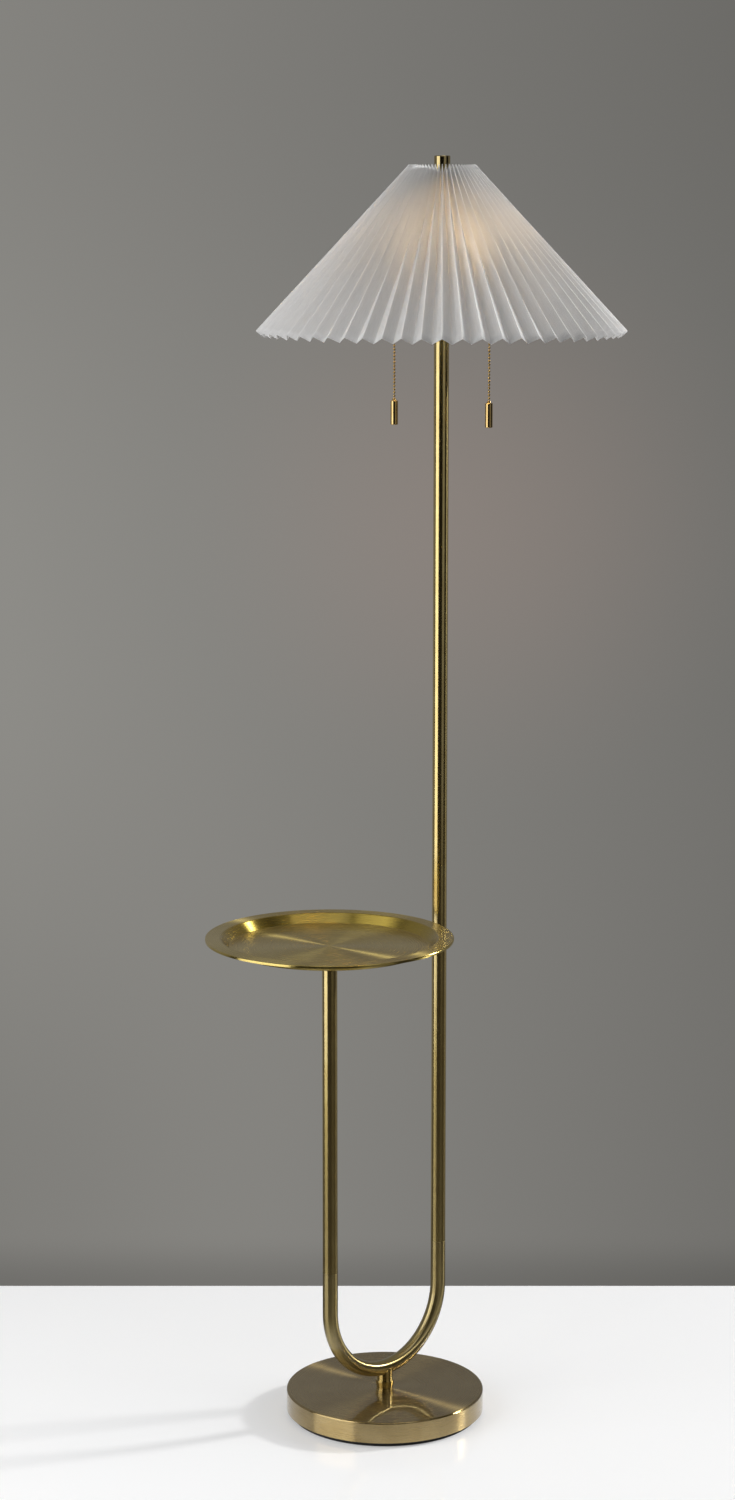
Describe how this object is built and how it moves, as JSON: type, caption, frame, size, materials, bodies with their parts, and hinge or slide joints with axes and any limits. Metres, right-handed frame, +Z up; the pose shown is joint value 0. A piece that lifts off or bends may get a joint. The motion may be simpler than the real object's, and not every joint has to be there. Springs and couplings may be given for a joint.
{
  "type": "floor lamp with table",
  "caption": "Floor lamp on a round weighted base: a U-shaped tube carries the lamp pole with a pleated cone shade on one arm and a dished round tray table on the other.",
  "frame": {"origin": "on the floor, under the centre of the round base", "axes": "+Z up along the pole; the U tube stands in the XZ plane with the pole on +X and the tray post on -X"},
  "size_m": [0.5656, 0.4546, 1.5761],
  "materials": {
    "brushed_brass": "brushed antique brass, clear lacquer",
    "polished_brass": "polished brass",
    "plated_steel": "zinc plated",
    "black_pad": "matt black foam",
    "iron_weight": "black paint on cast iron",
    "gland_plastic": "moulded, matt",
    "lead_sleeve": "smooth cable sheath",
    "pleated_cloth": "white cloth on film, knife pleated",
    "white_wire": "white enamelled wire",
    "insulating_card": "pressed card",
    "switch_plastic": "black phenolic",
    "lamp_cap": "bright",
    "frosted_glass": "frosted inside"
  },
  "bodies": {
    "stand": {"base_cover": "brushed_brass", "stem_collar": "brushed_brass", "stem_boss": "brushed_brass", "u_tube": "brushed_brass", "lower_pole": "brushed_brass", "upper_pole": "brushed_brass", "tray_post": "brushed_brass", "tray": "brushed_brass", "tray_hub": "brushed_brass", "cluster_body": "brushed_brass", "cluster_cap": "brushed_brass", "riser_rod": "brushed_brass", "base_nut": "plated_steel", "base_washer": "plated_steel", "base_nipple": "plated_steel", "tube_couplers": "plated_steel", "tray_stud": "plated_steel", "tray_post_bush": "plated_steel", "cluster_bush": "plated_steel", "cluster_nipple": "plated_steel", "spider_seat_nut": "plated_steel", "base_pad": "black_pad", "base_weight": "iron_weight", "cord_grommet": "gland_plastic", "supply_lead": "lead_sleeve", "left_socket_arm": "brushed_brass", "left_socket_cap": "brushed_brass", "left_socket_shell": "brushed_brass", "left_chain_hood": "polished_brass", "left_socket_liner": "insulating_card", "left_socket_core": "switch_plastic", "left_thread_shell": "polished_brass", "right_socket_arm": "brushed_brass", "right_socket_cap": "brushed_brass", "right_socket_shell": "brushed_brass", "right_chain_hood": "polished_brass", "right_socket_liner": "insulating_card", "right_socket_core": "switch_plastic", "right_thread_shell": "polished_brass"},
    "shade": {"shade_spider": "white_wire", "shade_pleats": "pleated_cloth", "shade_foot_ring": "white_wire"},
    "finial": {"finial": "brushed_brass"},
    "left_bulb": {"left_bulb_cap": "lamp_cap", "left_bulb_glass": "frosted_glass"},
    "left_lever": {"left_pull_lever": "plated_steel"},
    "left_pull": {"left_chain_link": "polished_brass"},
    "left_chain": {"left_chain": "polished_brass", "left_fob": "polished_brass"},
    "right_bulb": {"right_bulb_cap": "lamp_cap", "right_bulb_glass": "frosted_glass"},
    "right_lever": {"right_pull_lever": "plated_steel"},
    "right_pull": {"right_chain_link": "polished_brass"},
    "right_chain": {"right_chain": "polished_brass", "right_fob": "polished_brass"}
  },
  "joints": [
    {"name": "shade_turn", "type": "hinge", "parent": "stand", "child": "shade", "pos_m": [0.093, 0, 1.5495], "axis": [0, 0, 1], "continuous": true},
    {"name": "finial_turn", "type": "hinge", "parent": "stand", "child": "finial", "pos_m": [0.093, 0, 1.55085], "axis": [0, 0, 1], "continuous": true},
    {"name": "left_bulb_turn", "type": "hinge", "parent": "stand", "child": "left_bulb", "pos_m": [0.07791, 0.03488, 1.4096], "axis": [0, 0, 1], "continuous": true},
    {"name": "left_pull", "type": "slide", "parent": "stand", "child": "left_pull", "axis": [0, 0, -1], "range_m": [0, 0.008], "stiffness_N_per_m": 800, "springref_m": -0.004},
    {"name": "left_lever_turn", "type": "hinge", "parent": "stand", "child": "left_lever", "pos_m": [0.07791, 0.03488, 1.394], "axis": [-0.9178, -0.3971, 0], "range_deg": [0, 18.38]},
    {"name": "left_chain_swing", "type": "hinge", "parent": "left_pull", "child": "left_chain", "pos_m": [0.06798, 0.05782, 1.3831], "axis": [-0.9178, -0.3971, 0], "range_deg": [-35, 15]},
    {"name": "right_bulb_turn", "type": "hinge", "parent": "stand", "child": "right_bulb", "pos_m": [0.10809, -0.03488, 1.4096], "axis": [0, 0, 1], "continuous": true},
    {"name": "right_pull", "type": "slide", "parent": "stand", "child": "right_pull", "axis": [0, 0, -1], "range_m": [0, 0.008], "stiffness_N_per_m": 800, "springref_m": -0.004},
    {"name": "right_lever_turn", "type": "hinge", "parent": "stand", "child": "right_lever", "pos_m": [0.10809, -0.03488, 1.394], "axis": [0.9178, 0.3971, 0], "range_deg": [0, 18.38]},
    {"name": "right_chain_swing", "type": "hinge", "parent": "right_pull", "child": "right_chain", "pos_m": [0.11802, -0.05782, 1.3831], "axis": [0.9178, 0.3971, 0], "range_deg": [-35, 15]}
  ],
  "couplings": [
    {"joint": "left_lever_turn", "follows": "left_pull", "rad_per_m": 40},
    {"joint": "right_lever_turn", "follows": "right_pull", "rad_per_m": 40}
  ]
}
